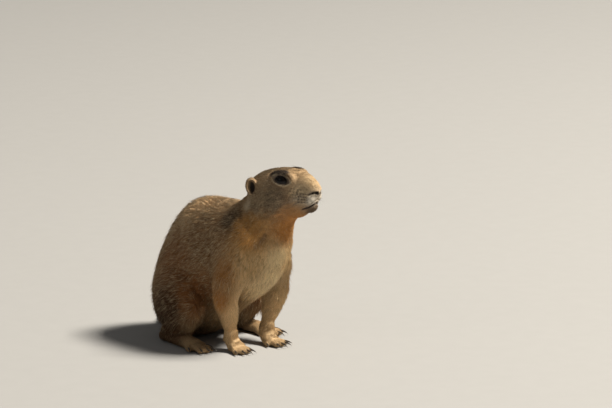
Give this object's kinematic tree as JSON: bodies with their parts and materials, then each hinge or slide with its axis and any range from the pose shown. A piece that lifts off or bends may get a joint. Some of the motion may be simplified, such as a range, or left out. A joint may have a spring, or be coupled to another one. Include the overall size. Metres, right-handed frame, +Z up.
{
  "type": "prairie dog",
  "caption": "Life-size still model of a prairie dog, crouched on its haunches with head raised, forepaws together on the floor and tail laid behind.",
  "frame": {"origin": "middle of the bounding box, on the floor that the feet and tail rest on", "axes": "-Y the way the body faces, +X the animal's left, +Z up"},
  "size_m": [0.1104, 0.2054, 0.16],
  "materials": {
    "claw_forepaw_fifth_left_surface": "dark horn, satin",
    "claw_forepaw_fifth_right_surface": "dark horn, satin",
    "claw_forepaw_fourth_left_surface": "dark horn, satin",
    "claw_forepaw_fourth_right_surface": "dark horn, satin",
    "claw_forepaw_second_left_surface": "dark horn, satin",
    "claw_forepaw_second_right_surface": "dark horn, satin",
    "claw_forepaw_third_left_surface": "dark horn, satin",
    "claw_forepaw_third_right_surface": "dark horn, satin",
    "claw_forepaw_thumb_left_surface": "dark horn, satin",
    "claw_forepaw_thumb_right_surface": "dark horn, satin",
    "claw_hind_foot_fifth_left_surface": "dark horn, satin",
    "claw_hind_foot_fifth_right_surface": "dark horn, satin",
    "claw_hind_foot_first_left_surface": "dark horn, satin",
    "claw_hind_foot_first_right_surface": "dark horn, satin",
    "claw_hind_foot_fourth_left_surface": "dark horn, satin",
    "claw_hind_foot_fourth_right_surface": "dark horn, satin",
    "claw_hind_foot_second_left_surface": "dark horn, satin",
    "claw_hind_foot_second_right_surface": "dark horn, satin",
    "claw_hind_foot_third_left_surface": "dark horn, satin",
    "claw_hind_foot_third_right_surface": "dark horn, satin",
    "ear_left_surface": "short fur",
    "ear_right_surface": "short fur",
    "eye_left_surface": "polished, near black",
    "eye_right_surface": "polished, near black",
    "forearm_left_surface": "short fur",
    "forearm_right_surface": "short fur",
    "forepaw_left_surface": "short fur",
    "forepaw_right_surface": "short fur",
    "head_surface": "short fur",
    "hind_foot_left_surface": "short fur",
    "hind_foot_right_surface": "short fur",
    "neck_surface": "fur",
    "rump_surface": "fur",
    "tail_surface": "fur",
    "thigh_left_surface": "fur",
    "thigh_right_surface": "fur",
    "torso_surface": "fur",
    "upper_arm_left_surface": "fur",
    "upper_arm_right_surface": "fur"
  },
  "bodies": {
    "root": {"claw_forepaw_fifth_left": "claw_forepaw_fifth_left_surface", "claw_forepaw_fifth_right": "claw_forepaw_fifth_right_surface", "claw_forepaw_fourth_left": "claw_forepaw_fourth_left_surface", "claw_forepaw_fourth_right": "claw_forepaw_fourth_right_surface", "claw_forepaw_second_left": "claw_forepaw_second_left_surface", "claw_forepaw_second_right": "claw_forepaw_second_right_surface", "claw_forepaw_third_left": "claw_forepaw_third_left_surface", "claw_forepaw_third_right": "claw_forepaw_third_right_surface", "claw_forepaw_thumb_left": "claw_forepaw_thumb_left_surface", "claw_forepaw_thumb_right": "claw_forepaw_thumb_right_surface", "claw_hind_foot_fifth_left": "claw_hind_foot_fifth_left_surface", "claw_hind_foot_fifth_right": "claw_hind_foot_fifth_right_surface", "claw_hind_foot_first_left": "claw_hind_foot_first_left_surface", "claw_hind_foot_first_right": "claw_hind_foot_first_right_surface", "claw_hind_foot_fourth_left": "claw_hind_foot_fourth_left_surface", "claw_hind_foot_fourth_right": "claw_hind_foot_fourth_right_surface", "claw_hind_foot_second_left": "claw_hind_foot_second_left_surface", "claw_hind_foot_second_right": "claw_hind_foot_second_right_surface", "claw_hind_foot_third_left": "claw_hind_foot_third_left_surface", "claw_hind_foot_third_right": "claw_hind_foot_third_right_surface", "ear_left": "ear_left_surface", "ear_right": "ear_right_surface", "eye_left": "eye_left_surface", "eye_right": "eye_right_surface", "forearm_left": "forearm_left_surface", "forearm_right": "forearm_right_surface", "forepaw_left": "forepaw_left_surface", "forepaw_right": "forepaw_right_surface", "head": "head_surface", "hind_foot_left": "hind_foot_left_surface", "hind_foot_right": "hind_foot_right_surface", "neck": "neck_surface", "rump": "rump_surface", "tail": "tail_surface", "thigh_left": "thigh_left_surface", "thigh_right": "thigh_right_surface", "torso": "torso_surface", "upper_arm_left": "upper_arm_left_surface", "upper_arm_right": "upper_arm_right_surface"}
  },
  "joints": []
}
